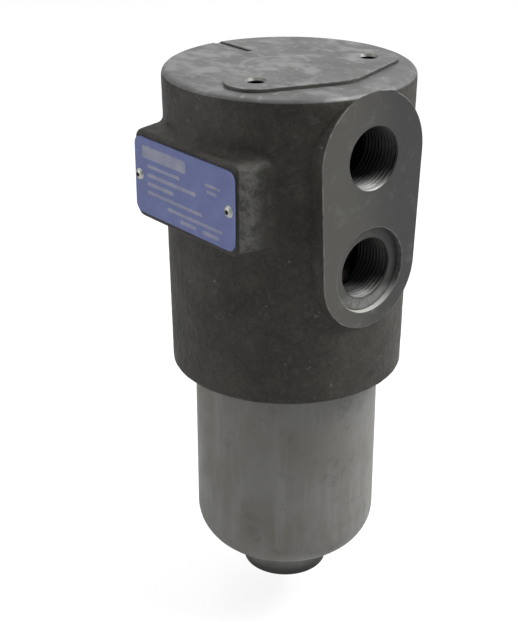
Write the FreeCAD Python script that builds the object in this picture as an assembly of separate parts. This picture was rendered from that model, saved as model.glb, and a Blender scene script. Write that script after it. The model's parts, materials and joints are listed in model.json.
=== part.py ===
"""Bowl-type hydraulic pressure filter with both ports on one face.

Millimetres, +Z up. The origin is on the filter's axis, on the machined mounting pad on top.
The ports face -Y and the name plate faces -X.
"""
import FreeCAD, Part
import math
import os

Vector = FreeCAD.Vector
X_AXIS = Vector(1, 0, 0)
Y_AXIS = Vector(0, 1, 0)
Z_AXIS = Vector(0, 0, 1)

# Head casting, outside: its side leans in by the draft over the whole height
head_top_r = 50.0
head_draft = 1.9
head_height = 124.5
head_top_edge_r = 3.0
head_bottom_edge_r = 1.2
pad_rise = 1.5
pad_root = 4.0

# Mounting pad: a round middle and two round ends, set towards the port face
pad_offset = 14.4
pad_middle_r = 21.3
pad_end_r = 12.0
mount_hole_pitch = 57.4
mount_hole_r = 3.4
mount_hole_depth = 15.0
mount_chamfer = 0.9

# Radial groove across the back of the top face
groove_w = 3.6
groove_depth = 0.9
groove_start = 27.0
groove_x = 2.0

# Ports: thread core of a G 3/4 port, the lower one with a spot face
port_face_inset = 1.2
port_pitch = 45.0
port_drop = 26.0
port_core_r = 12.06
port_thread_length = 18.0
port_chamfer = 0.5
port_passage_r = 11.0
spot_face_r = 17.2
spot_face_depth = 2.5
port_boss_top_r = 25.9
port_boss_bottom_r = 23.8
port_boss_draft = 1.4
port_boss_depth = 22.8

# Boss for the name plate, with a margin all round the plate
plate_boss_rise = 2.0
plate_margin_w = 1.0
plate_margin_h = 2.5
plate_boss_drop = 22.5
plate_boss_edge_r = 1.6
plate_boss_draft = 3.2
plate_boss_blend_r = 3.0
boss_root_cover = 1.8

# Name plate and its drive rivets
plate_w = 62.0
plate_h = 31.0
plate_t = 0.8
plate_corner_r = 3.5
rivet_inset = 3.0
rivet_head_r = 2.4
rivet_head_h = 1.3
rivet_shank_r = 1.45
rivet_length = 7.0
rivet_dimple_r = 0.95
rivet_dimple_depth = 0.7
rivet_hole_clearance = 0.1

# Passages inside the head
clean_chamber_r = 21.0
clean_chamber_top = 15.0
clean_chamber_edge_r = 4.0
partition_top = 42.0
partition_bottom = 58.0
dirty_chamber_r = 31.5
chamber_edge_r = 3.0

# Screwed joint of the bowl: M76 x 3, modelled as a plain cylinder at its pitch radius
bowl_thread_r = 37.05
bowl_thread_pitch = 3.0
bowl_thread_length = 18.0
thread_clearance = 0.05
bowl_top = 88.3
bowl_stop_gap = 0.3
bowl_r = 38.7
bowl_wall = 5.0
bowl_land_clearance = 0.08
mouth_chamfer = 1.5

# Bowl bottom
bowl_straight_length = 109.5
bowl_knuckle_w = 18.3
bowl_knuckle_h = 17.5
bowl_floor_t = 7.0
bowl_inner_knuckle_r = 14.0
stub_r = 18.3
stub_length = 13.0
stub_edge_r = 1.0
stub_fillet_r = 2.0

# Bowl seal, in a groove of the head
seal_groove_z = 112.0
seal_groove_w = 6.0
seal_groove_depth = 2.9
bowl_seal_cord_r = 1.75
seal_squeeze_gap = 0.03
backup_ring_w = 1.8
backup_ring_pinch = 0.02

# Drain plug, G 1/4
drain_core_r = 5.72
drain_bore_r = 3.0
drain_thread_length = 9.0
drain_recess_r = 11.0
drain_recess_depth = 4.6
drain_collar_r = 9.0
drain_collar_h = 3.0
drain_socket_af = 6.0
drain_socket_depth = 5.0
drain_seal_t = 1.3
drain_seal_r = 8.6

# Outlet spigot
spigot_thread_r = 15.0
spigot_thread_length = 13.0
spigot_bore_r = 9.8
spigot_nose_r = 13.0
spigot_flange_af = 36.0
spigot_flange_t = 5.0
spigot_nose_length = 20.0
spigot_nose_chamfer = 1.2
spigot_neck_depth = 0.5
spigot_seal_groove_w = 2.5
spigot_seal_groove_depth = 1.7

# Bypass valve
bypass_y = 23.6
bypass_bore_r = 6.0
bypass_bore_top = 30.0
bypass_seat_length = 8.0
bypass_seat_bore_r = 3.6
bypass_seat_recess = 0.5
bypass_seat_socket_depth = 3.0
poppet_disc_r = 4.8
poppet_disc_t = 1.8
poppet_nose_h = 1.6
poppet_stem_r = 1.8
poppet_guide_length = 3.0
poppet_end_room = 1.0
stem_clearance = 0.06
poppet_lift = 4.0
bypass_wire_r = 0.55
bypass_coil_r = 3.9
bypass_active_coils = 2.5

# Filter element
element_top = 66.0
element_length = 130.0
element_cap_r = 27.2
element_cap_t = 3.0
element_cap_lip = 6.0
element_cap_lip_t = 0.8
collar_r = 18.0
collar_h = 7.0
collar_clearance = 0.06
element_seal_land = 1.6
element_seal_groove_w = 3.6
element_seal_groove_depth = 2.3
element_seal_cord_r = 1.35
pleat_count = 36
pleat_outer_r = 26.0
pleat_inner_r = 15.0
pleat_t = 0.7
pleat_outer_fold_r = 1.15
pleat_inner_fold_r = 0.75
core_r = 14.6
core_wall = 0.8
core_hole_r = 2.0
core_hole_rows = 7
core_holes_round = 6
band_w = 5.0
band_t = 0.5
bottom_boss_r = 9.8
bottom_boss_h = 4.0
element_spring_wire_r = 1.3
element_spring_coil_r = 12.4
element_active_coils = 1.0
spring_end_gap = 0.1
spring_wire_sides = 8

# Outside sizes worked out from the sizes above; a boss starts well inside the casting
head_bottom_r = head_top_r - head_draft
port_face = head_top_r - port_face_inset
port_boss_root = port_face - port_boss_depth
plate_boss_face = head_top_r + plate_boss_rise
plate_boss_w = plate_w + 2 * plate_margin_w
plate_boss_h = plate_h + 2 * plate_margin_h
plate_boss_corner_r = plate_corner_r + plate_margin_w / 2
plate_boss_root_half_w = plate_boss_w / 2 + plate_boss_draft
plate_boss_root = math.sqrt((head_bottom_r - boss_root_cover) ** 2 - plate_boss_root_half_w ** 2)
rivet_pitch = plate_w - 2 * rivet_inset

# Heights worked out from the sizes above, all negative because the origin is at the top
rim_z = -pad_rise
head_bottom_z = rim_z - head_height
upper_port_z = rim_z - port_drop
lower_port_z = upper_port_z - port_pitch
plate_z = rim_z - plate_boss_drop - plate_boss_h / 2
bowl_top_z = -bowl_top
bowl_shoulder_z = bowl_top_z - bowl_thread_length
bowl_straight_end_z = bowl_top_z - bowl_straight_length
bowl_bottom_z = bowl_straight_end_z - bowl_knuckle_h
bowl_floor_z = bowl_bottom_z + bowl_floor_t
stub_bottom_z = bowl_bottom_z - stub_length
bowl_inner_r = bowl_r - bowl_wall
land_bore_r = bowl_r + bowl_land_clearance
partition_z = -partition_bottom
element_top_z = -element_top
element_bottom_z = element_top_z - element_length
cap_plane_z = element_top_z - collar_h
pleat_top_z = cap_plane_z - element_cap_t
pleat_bottom_z = element_bottom_z + element_cap_t


def cylinder(radius, z_low, z_high, x=0.0, y=0.0):
    """Upright cylinder between two heights."""
    return Part.makeCylinder(radius, z_high - z_low, Vector(x, y, z_low), Z_AXIS)


def tube(outer_r, inner_r, z_low, z_high, x=0.0, y=0.0):
    """Upright tube between two heights."""
    outer = cylinder(outer_r, z_low, z_high, x, y)
    return outer.cut(cylinder(inner_r, z_low - 1, z_high + 1, x, y))


def rod_along_y(radius, y_start, y_end, z):
    """Cylinder along Y at a given height."""
    return Part.makeCylinder(radius, y_end - y_start, Vector(0, y_start, z), Y_AXIS)


def point(radius, z):
    return Vector(radius, 0, z)


def line(start, end):
    return Part.LineSegment(start, end).toShape()


def arc_about(centre, radius, start_deg, end_deg):
    """Arc in the XZ plane from one angle to another, angles from +X towards +Z."""
    angles = [start_deg, (start_deg + end_deg) / 2, end_deg]
    places = []
    for angle in angles:
        turn = math.radians(angle)
        places.append(centre + Vector(radius * math.cos(turn), 0, radius * math.sin(turn)))
    return Part.Arc(places[0], places[1], places[2]).toShape()


def revolve(edges, x=0.0, y=0.0):
    """Solid of revolution about Z from edges that make one closed outline in the XZ plane."""
    face = Part.Face(Part.Wire(Part.__sortEdges__(edges)))
    solid = face.revolve(Vector(0, 0, 0), Z_AXIS, 360)
    solid.translate(Vector(x, y, 0))
    return solid


def revolve_points(points, x=0.0, y=0.0):
    """Solid of revolution from the corners of its half section."""
    corners = [point(radius, z) for radius, z in points]
    corners.append(corners[0])
    edges = [line(a, b) for a, b in zip(corners, corners[1:])]
    return revolve(edges, x, y)


def hexagon(across_flats, z_low, z_high, x=0.0, y=0.0):
    """Upright hexagonal prism with two flats facing +Y and -Y."""
    corner_r = across_flats / math.sqrt(3)
    corners = []
    for index in range(7):
        turn = math.radians(60 * index)
        corners.append(Vector(x + corner_r * math.cos(turn), y + corner_r * math.sin(turn), z_low))
    return Part.Face(Part.makePolygon(corners)).extrude(Vector(0, 0, z_high - z_low))


def hull_of_two_circles(first, first_r, second, second_r, to_world):
    """Wire round two circles of a plane, joined by their outer tangents."""
    span_u = second[0] - first[0]
    span_v = second[1] - first[1]
    distance = math.hypot(span_u, span_v)
    heading = math.atan2(span_v, span_u)
    lean = math.acos((first_r - second_r) / distance)

    def place(centre, radius, angle):
        return to_world(centre[0] + radius * math.cos(angle), centre[1] + radius * math.sin(angle))

    left = heading + lean
    right = heading - lean
    second_arc = Part.Arc(
        place(second, second_r, right), place(second, second_r, heading), place(second, second_r, left)
    ).toShape()
    first_arc = Part.Arc(
        place(first, first_r, left), place(first, first_r, heading + math.pi), place(first, first_r, right)
    ).toShape()
    upper = line(place(second, second_r, left), place(first, first_r, left))
    lower = line(place(first, first_r, right), place(second, second_r, right))
    return Part.Wire([second_arc, upper, first_arc, lower])


def rounded_rectangle(width, height, corner_r, to_world):
    """Wire of a rectangle with round corners about the plane's origin."""
    half_w = width / 2
    half_h = height / 2
    inner_w = half_w - corner_r
    inner_h = half_h - corner_r
    centres = [(inner_w, inner_h), (-inner_w, inner_h), (-inner_w, -inner_h), (inner_w, -inner_h)]
    arcs = []
    for index, centre in enumerate(centres):
        places = []
        for step in (0, 45, 90):
            turn = math.radians(90 * index + step)
            u = centre[0] + corner_r * math.cos(turn)
            v = centre[1] + corner_r * math.sin(turn)
            places.append(to_world(u, v))
        arcs.append(places)
    edges = []
    for index, places in enumerate(arcs):
        edges.append(Part.Arc(places[0], places[1], places[2]).toShape())
        following = arcs[(index + 1) % 4]
        edges.append(line(places[2], following[0]))
    return Part.Wire(edges)


def helical_spring(wire_r, coil_r, active_coils, z_low, z_high, x=0.0, y=0.0):
    """Compression spring with one closed coil at each end, its wire drawn eight-sided."""
    half_flat = wire_r * math.cos(math.pi / spring_wire_sides)
    closed_pitch = 2.05 * wire_r
    active_height = z_high - z_low - 2 * half_flat - 2 * closed_pitch
    sections = [(closed_pitch, 1), (active_height / active_coils, active_coils), (closed_pitch, 1)]
    start_z = z_low + half_flat
    edges = []
    turned = 0.0
    for pitch, coils in sections:
        helix = Part.makeHelix(pitch, pitch * coils, coil_r)
        helix.rotate(Vector(0, 0, 0), Z_AXIS, turned)
        helix.translate(Vector(0, 0, start_z))
        edges.extend(helix.Edges)
        start_z += pitch * coils
        turned += 360 * coils
    corners = []
    for index in range(spring_wire_sides):
        turn = 2 * math.pi * (index + 0.5) / spring_wire_sides
        across = coil_r + wire_r * math.cos(turn)
        corners.append(Vector(across, 0, z_low + half_flat + wire_r * math.sin(turn)))
    corners.append(corners[0])
    spring = Part.Wire(edges).makePipeShell([Part.makePolygon(corners)], True, True)
    spring.translate(Vector(x, y, 0))
    return spring


def squeezed_half_height(inner_r, outer_r, cord_r):
    """Half height of an O-ring that two walls squeeze, its section area kept."""
    half_radial = (outer_r - inner_r) / 2
    return cord_r * cord_r / half_radial


def squeezed_ring(inner_r, outer_r, z_centre, cord_r):
    """O-ring squeezed between two walls: flats on the walls and sides that bulge in three flats."""
    half_radial = (outer_r - inner_r) / 2
    half_axial = squeezed_half_height(inner_r, outer_r, cord_r)
    middle_r = (inner_r + outer_r) / 2
    corners = []
    for index in range(8):
        turn = math.radians(45 * index + 22.5)
        flat = math.cos(math.radians(22.5))
        radius = middle_r + half_radial * math.cos(turn) / flat
        corners.append((radius, z_centre + half_axial * math.sin(turn) / flat))
    return revolve_points(corners)


def head_outside():
    """Turned outline of the casting with its slight draft and rounded edges."""
    slope = math.atan2(head_top_r - head_bottom_r, head_height)
    top_centre_r = head_top_r - head_top_edge_r
    bottom_centre_r = head_bottom_r - head_bottom_edge_r
    top_centre = point(top_centre_r, rim_z - head_top_edge_r)
    bottom_centre = point(bottom_centre_r, head_bottom_z + head_bottom_edge_r)
    lean = -math.degrees(slope)
    top_arc = arc_about(top_centre, head_top_edge_r, 90, lean)
    bottom_arc = arc_about(bottom_centre, head_bottom_edge_r, lean, -90)
    edges = [
        line(point(0, rim_z), point(top_centre_r, rim_z)),
        top_arc,
        line(top_arc.Vertexes[1].Point, bottom_arc.Vertexes[0].Point),
        bottom_arc,
        line(point(bottom_centre_r, head_bottom_z), point(0, head_bottom_z)),
        line(point(0, head_bottom_z), point(0, rim_z)),
    ]
    return revolve(edges)


def is_casting_side(face):
    """True for the drafted side of the casting, the one cone about the filter's axis."""
    surface = face.Surface
    return surface.__class__.__name__ == "Cone" and abs(abs(surface.Axis.z) - 1) < 1e-6


def blend_onto_casting(shape, radius):
    """Round the inner corner all along the line where a boss leaves the casting's side."""
    corner = []
    for edge in shape.Edges:
        faces = [face for face in shape.Faces if any(other.isSame(edge) for other in face.Edges)]
        sides = [face for face in faces if is_casting_side(face)]
        others = [face for face in faces if not is_casting_side(face)]
        if len(sides) == 1 and len(others) == 1 and others[0].Surface.__class__.__name__ != "Toroid":
            corner.append(edge)
    return shape.makeFillet(radius, corner)


def port_boss():
    """Long flat boss of the two ports, a little wider where it leaves the casting."""
    def outline(grow, y):
        def to_world(u, v):
            return Vector(u, y, v)
        top_r = port_boss_top_r + grow
        bottom_r = port_boss_bottom_r + grow
        return hull_of_two_circles((0, upper_port_z), top_r, (0, lower_port_z), bottom_r, to_world)
    sections = [outline(0, -port_face), outline(port_boss_draft, -port_boss_root)]
    boss = Part.makeLoft(sections, True, True)
    corner = Vector(-2 * port_boss_top_r, -2 * port_face, rim_z)
    above_rim = Part.makeBox(4 * port_boss_top_r, 2 * port_face, port_boss_top_r, corner)
    return boss.cut(above_rim)


def plate_boss():
    """Rectangular boss of the name plate, with drafted sides and a rounded rim."""
    def outline(grow, x):
        def to_world(u, v):
            return Vector(x, u, plate_z + v)
        return rounded_rectangle(
            plate_boss_w + 2 * grow, plate_boss_h + grow, plate_boss_corner_r + grow / 2, to_world
        )
    sections = [outline(0, -plate_boss_face), outline(plate_boss_draft, -plate_boss_root)]
    boss = Part.makeLoft(sections, True, True)
    rim = [edge for edge in boss.Edges if abs(edge.BoundBox.XMin + plate_boss_face) < 0.01
           and abs(edge.BoundBox.XMax + plate_boss_face) < 0.01]
    return boss.makeFillet(plate_boss_edge_r, rim)


def mounting_pad():
    """Raised pad round both mounting holes: a round middle with a lobe on each side."""
    def to_world(u, v):
        return Vector(u, v, rim_z - pad_root)
    middle = (0, -pad_offset)
    height = Vector(0, 0, pad_root + pad_rise)
    pad = None
    for side in (-1, 1):
        end = (side * mount_hole_pitch / 2, -pad_offset)
        outline = hull_of_two_circles(middle, pad_middle_r, end, pad_end_r, to_world)
        half = Part.Face(outline).extrude(height)
        pad = half if pad is None else pad.fuse(half)
    return pad.removeSplitter()


def threaded_port(z, mouth_y, passage_end):
    """Tool shape of one port: thread core, small chamfer and the passage behind it."""
    mouth = -mouth_y
    core = rod_along_y(port_core_r, mouth - 1, mouth + port_thread_length, z)
    passage = rod_along_y(port_passage_r, mouth, -passage_end, z)
    cone = Part.makeCone(
        port_core_r + port_chamfer, port_core_r, port_chamfer, Vector(0, mouth, z), Y_AXIS
    )
    return core.fuse(passage).fuse(cone)


def mount_hole(x):
    """Tool shape of one tapped mounting hole with its chamfer and drill point."""
    top_r = mount_hole_r + mount_chamfer
    tip = mount_hole_r / math.tan(math.radians(59))
    points = [
        (0, 1), (top_r, 1), (top_r, 0), (mount_hole_r, -mount_chamfer),
        (mount_hole_r, -mount_hole_depth), (0, -mount_hole_depth - tip),
    ]
    return revolve_points(points, x, -pad_offset)


def rivet_places():
    return [-rivet_pitch / 2, rivet_pitch / 2]


def bowl_bore():
    """Tool shape of everything turned from below: chamber, thread, seal groove and mouth.

    The thread ends in a relief that is one pitch long.
    """
    shoulder = bowl_top_z + bowl_stop_gap
    thread_r = bowl_thread_r + thread_clearance
    land_top = bowl_shoulder_z + bowl_thread_pitch
    groove_top = -seal_groove_z
    groove_low = groove_top - seal_groove_w
    groove_r = land_bore_r + seal_groove_depth
    points = [
        (0, partition_z), (dirty_chamber_r, partition_z), (dirty_chamber_r, shoulder),
        (thread_r, shoulder), (thread_r, land_top), (land_bore_r, land_top),
        (land_bore_r, groove_top), (groove_r, groove_top), (groove_r, groove_low),
        (land_bore_r, groove_low), (land_bore_r, head_bottom_z + mouth_chamfer),
        (land_bore_r + mouth_chamfer, head_bottom_z), (land_bore_r + mouth_chamfer, head_bottom_z - 1),
        (0, head_bottom_z - 1),
    ]
    bore = revolve_points(points)
    rim = [edge for edge in bore.Edges if abs(edge.BoundBox.ZMin - partition_z) < 0.01
           and abs(edge.BoundBox.ZMax - partition_z) < 0.01]
    return bore.makeFillet(chamber_edge_r, rim)


def clean_chamber():
    """Tool shape of the cored chamber above the partition and the spigot's screwed bore."""
    chamber = cylinder(clean_chamber_r, -partition_top, -clean_chamber_top)
    chamber = chamber.makeFillet(clean_chamber_edge_r, [
        edge for edge in chamber.Edges if edge.BoundBox.ZLength < 0.01
    ])
    bore = cylinder(spigot_thread_r + thread_clearance, partition_z - 1, -partition_top + 1)
    return chamber.fuse(bore)


def bypass_bore():
    """Tool shape of the bypass valve's bore and its stem guide."""
    bore = cylinder(bypass_bore_r, partition_z - 1, -bypass_bore_top, 0, bypass_y)
    guide_top = -bypass_bore_top + poppet_guide_length + poppet_lift + poppet_end_room
    guide = cylinder(poppet_stem_r + stem_clearance, -bypass_bore_top - 1, guide_top, 0, bypass_y)
    return bore.fuse(guide)


def filter_head():
    head = blend_onto_casting(head_outside().fuse(plate_boss()), plate_boss_blend_r)
    head = head.fuse(port_boss()).fuse(mounting_pad())
    beyond_face = Vector(-head_top_r, -port_face - head_top_r, head_bottom_z - 1)
    head = head.cut(Part.makeBox(2 * head_top_r, head_top_r, head_height + 2, beyond_face))
    groove_corner = Vector(groove_x - groove_w / 2, groove_start, rim_z - groove_depth)
    groove = Part.makeBox(groove_w, head_top_r, groove_depth + 1, groove_corner)
    head = head.cut(groove)
    head = head.cut(bowl_bore()).cut(clean_chamber()).cut(bypass_bore())
    head = head.cut(threaded_port(upper_port_z, port_face, 0))
    head = head.cut(threaded_port(lower_port_z, port_face - spot_face_depth, dirty_chamber_r / 2))
    spot_floor = -port_face + spot_face_depth
    head = head.cut(rod_along_y(spot_face_r, -port_face - 1, spot_floor, lower_port_z))
    for x in (-mount_hole_pitch / 2, mount_hole_pitch / 2):
        head = head.cut(mount_hole(x))
    for y in rivet_places():
        mouth = Vector(-plate_boss_face - 0.1, y, plate_z)
        hole_r = rivet_shank_r + rivet_hole_clearance
        head = head.cut(Part.makeCylinder(hole_r, rivet_length + 1, mouth, X_AXIS))
    return head.removeSplitter()


def filter_bowl():
    """Deep steel cup: screwed neck, plain land, rounded bottom and drain boss."""
    knuckle_centre = point(bowl_r - bowl_knuckle_w, bowl_straight_end_z)
    if bowl_knuckle_w >= bowl_knuckle_h:
        oval = Part.Ellipse(knuckle_centre + Vector(bowl_knuckle_w, 0, 0),
                            knuckle_centre - Vector(0, 0, bowl_knuckle_h), knuckle_centre)
        knuckle = Part.Edge(oval, 0, math.pi / 2)
    else:
        oval = Part.Ellipse(knuckle_centre - Vector(0, 0, bowl_knuckle_h),
                            knuckle_centre + Vector(bowl_knuckle_w, 0, 0), knuckle_centre)
        knuckle = Part.Edge(oval, 0, math.pi / 2)
    outer_corner = point(bowl_r, bowl_straight_end_z)
    inner_corner = point(bowl_r - bowl_knuckle_w, bowl_bottom_z)
    root_centre = point(stub_r + stub_fillet_r, bowl_bottom_z - stub_fillet_r)
    root = arc_about(root_centre, stub_fillet_r, 90, 180)
    edge_centre = point(stub_r - stub_edge_r, stub_bottom_z + stub_edge_r)
    low_edge = arc_about(edge_centre, stub_edge_r, 0, -90)
    edges = [
        line(point(0, bowl_top_z), point(bowl_thread_r, bowl_top_z)),
        line(point(bowl_thread_r, bowl_top_z), point(bowl_thread_r, bowl_shoulder_z)),
        line(point(bowl_thread_r, bowl_shoulder_z), point(bowl_r, bowl_shoulder_z)),
        line(point(bowl_r, bowl_shoulder_z), outer_corner),
        knuckle,
        line(inner_corner, root_centre + Vector(0, 0, stub_fillet_r)),
        root,
        line(root_centre - Vector(stub_fillet_r, 0, 0), edge_centre + Vector(stub_edge_r, 0, 0)),
        low_edge,
        line(edge_centre - Vector(0, 0, stub_edge_r), point(0, stub_bottom_z)),
        line(point(0, stub_bottom_z), point(0, bowl_top_z)),
    ]
    bowl = revolve(edges)
    inside = cylinder(bowl_inner_r, bowl_floor_z, bowl_top_z + 1)
    inside = inside.makeFillet(bowl_inner_knuckle_r, [
        edge for edge in inside.Edges if abs(edge.BoundBox.ZMax - bowl_floor_z) < 0.01
    ])
    bowl = bowl.cut(inside)
    bowl = bowl.cut(cylinder(drain_recess_r, stub_bottom_z - 1, stub_bottom_z + drain_recess_depth))
    core_top = stub_bottom_z + drain_recess_depth + drain_thread_length
    bowl = bowl.cut(cylinder(drain_core_r, stub_bottom_z, core_top))
    bowl = bowl.cut(cylinder(drain_bore_r, stub_bottom_z, bowl_floor_z + 1))
    return bowl.removeSplitter()


def bowl_seals():
    """O-ring and backup ring of the bowl, both in the head's groove."""
    outer_r = land_bore_r + seal_groove_depth - seal_squeeze_gap
    inner_r = bowl_r + seal_squeeze_gap
    groove_low = -seal_groove_z - seal_groove_w
    backup_top = groove_low + backup_ring_w
    ring_z = backup_top + squeezed_half_height(inner_r, outer_r, bowl_seal_cord_r)
    ring = squeezed_ring(inner_r, outer_r, ring_z, bowl_seal_cord_r)
    backup = tube(outer_r, bowl_r + bowl_land_clearance - backup_ring_pinch, groove_low, backup_top)
    return ring, backup


def name_plate():
    def to_world(u, v):
        return Vector(-plate_boss_face, u, plate_z + v)
    outline = rounded_rectangle(plate_w, plate_h, plate_corner_r, to_world)
    plate = Part.Face(outline).extrude(Vector(-plate_t, 0, 0))
    for y in rivet_places():
        start = Vector(-plate_boss_face - 2 * plate_t, y, plate_z)
        hole_r = rivet_shank_r + rivet_hole_clearance
        plate = plate.cut(Part.makeCylinder(hole_r, 4 * plate_t, start, X_AXIS))
    return plate


def plate_rivet(y):
    """Drive rivet with a domed head and a dimple, made upright and turned to face -X."""
    dome_r = (rivet_head_r ** 2 + rivet_head_h ** 2) / (2 * rivet_head_h)
    dome_low = rivet_head_h - dome_r
    start = math.degrees(math.asin(-dome_low / dome_r))
    rim_angle = math.degrees(math.acos(rivet_dimple_r / dome_r))
    centre = point(0, dome_low)
    dome = arc_about(centre, dome_r, start, rim_angle)
    rim = dome.Vertexes[1].Point
    floor_z = rivet_head_h - rivet_dimple_depth
    edges = [
        dome,
        line(rim, point(rivet_dimple_r, floor_z)),
        line(point(rivet_dimple_r, floor_z), point(0, floor_z)),
        line(point(0, floor_z), point(0, -rivet_length)),
        line(point(0, -rivet_length), point(rivet_shank_r, -rivet_length)),
        line(point(rivet_shank_r, -rivet_length), point(rivet_shank_r, 0)),
        line(point(rivet_shank_r, 0), dome.Vertexes[0].Point),
    ]
    rivet = revolve(edges)
    rivet.rotate(Vector(0, 0, 0), Y_AXIS, -90)
    rivet.translate(Vector(-plate_boss_face - plate_t, y, plate_z))
    return rivet


def drain_plug():
    """Socket screw plug with a collar, flush in the bottom boss, and its sealing ring."""
    seat_z = stub_bottom_z + drain_recess_depth
    collar_top = seat_z - drain_seal_t
    collar_low = collar_top - drain_collar_h
    thread_r = drain_core_r - thread_clearance
    thread_top = seat_z + drain_thread_length - 1
    plug = cylinder(drain_collar_r, collar_low, collar_top).fuse(cylinder(thread_r, collar_top, thread_top))
    plug = plug.cut(hexagon(drain_socket_af, collar_low - 1, collar_low + drain_socket_depth))
    seal = tube(drain_seal_r, drain_core_r + thread_clearance, collar_top, seat_z)
    return plug.removeSplitter(), seal


def element_spigot():
    """Outlet nipple: thread, hexagon and the nose that carries the element."""
    flange_low = partition_z - spigot_flange_t
    nose_low = flange_low - spigot_nose_length
    chamfer = spigot_nose_chamfer
    thread_top = partition_z + spigot_thread_length
    points = [
        (spigot_bore_r, nose_low), (spigot_nose_r - chamfer, nose_low), (spigot_nose_r, nose_low + chamfer),
        (spigot_nose_r, flange_low + 1), (spigot_thread_r, flange_low + 1), (spigot_thread_r, thread_top),
        (spigot_bore_r, thread_top),
    ]
    body = revolve_points(points)
    flange = hexagon(spigot_flange_af, flange_low, partition_z)
    flange = flange.cut(cylinder(spigot_nose_r - 1, flange_low - 1, partition_z + 1))
    seal_inner_r = spigot_thread_r - spigot_neck_depth
    seal_outer_r = seal_inner_r + spigot_seal_groove_w
    groove_low = partition_z - spigot_seal_groove_depth
    groove = tube(seal_outer_r, seal_inner_r, groove_low, partition_z)
    body = body.fuse(flange).cut(groove)
    half_height = spigot_seal_groove_depth / 2 - seal_squeeze_gap
    cord_r = math.sqrt(half_height * (spigot_seal_groove_w / 2 - seal_squeeze_gap))
    seal = squeezed_ring(
        seal_inner_r + seal_squeeze_gap, seal_outer_r - seal_squeeze_gap,
        partition_z - spigot_seal_groove_depth / 2, cord_r
    )
    return body.removeSplitter(), seal


def bypass_seat():
    """Screwed seat with a hexagon socket below and the sealing edge on top."""
    low = partition_z + bypass_seat_recess
    high = low + bypass_seat_length
    seat = tube(bypass_bore_r - thread_clearance, bypass_seat_bore_r, low, high, 0, bypass_y)
    socket = hexagon(2 * bypass_seat_bore_r + 1.2, low - 1, low + bypass_seat_socket_depth, 0, bypass_y)
    return seat.cut(socket)


def poppet_seat_z():
    return partition_z + bypass_seat_recess + bypass_seat_length


def bypass_poppet():
    """Valve cone with a flat disc that shuts on the seat and a guide stem above."""
    seat_z = poppet_seat_z()
    disc_top = seat_z + poppet_disc_t
    stem_top = -bypass_bore_top + poppet_guide_length
    nose_r = bypass_seat_bore_r - 0.3
    points = [
        (0, seat_z - poppet_nose_h), (nose_r - poppet_nose_h, seat_z - poppet_nose_h), (nose_r, seat_z),
        (poppet_disc_r, seat_z), (poppet_disc_r, disc_top), (poppet_stem_r, disc_top),
        (poppet_stem_r, stem_top), (0, stem_top),
    ]
    return revolve_points(points, 0, bypass_y)


def bypass_spring():
    low = poppet_seat_z() + poppet_disc_t
    high = -bypass_bore_top
    return helical_spring(bypass_wire_r, bypass_coil_r, bypass_active_coils, low, high, 0, bypass_y)


def element_top_cap():
    """Open end cap: a cup for the pleats and a collar with its own seal groove."""
    bore_r = spigot_nose_r + collar_clearance
    seal_top = element_top_z - element_seal_land
    seal_low = seal_top - element_seal_groove_w
    groove_r = bore_r + element_seal_groove_depth
    lip_inner = element_cap_r - element_cap_lip_t
    points = [
        (bore_r, element_top_z), (collar_r, element_top_z), (collar_r, cap_plane_z),
        (element_cap_r, cap_plane_z), (element_cap_r, pleat_top_z - element_cap_lip),
        (lip_inner, pleat_top_z - element_cap_lip), (lip_inner, pleat_top_z), (bore_r, pleat_top_z),
        (bore_r, seal_low), (groove_r, seal_low), (groove_r, seal_top), (bore_r, seal_top),
    ]
    return revolve_points(points)


def element_o_ring():
    bore_r = spigot_nose_r + collar_clearance
    inner_r = spigot_nose_r + seal_squeeze_gap
    outer_r = bore_r + element_seal_groove_depth - seal_squeeze_gap
    centre_z = element_top_z - element_seal_land - element_seal_groove_w / 2
    return squeezed_ring(inner_r, outer_r, centre_z, element_seal_cord_r)


def element_bottom_cap():
    """Closed end cap with the boss that centres the spring."""
    lip_inner = element_cap_r - element_cap_lip_t
    lip_top = pleat_bottom_z + element_cap_lip
    boss_low = element_bottom_z - bottom_boss_h
    points = [
        (0, pleat_bottom_z), (lip_inner, pleat_bottom_z), (lip_inner, lip_top), (element_cap_r, lip_top),
        (element_cap_r, element_bottom_z), (bottom_boss_r, element_bottom_z), (bottom_boss_r, boss_low + 1),
        (bottom_boss_r - 1, boss_low), (0, boss_low),
    ]
    return revolve_points(points)


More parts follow.
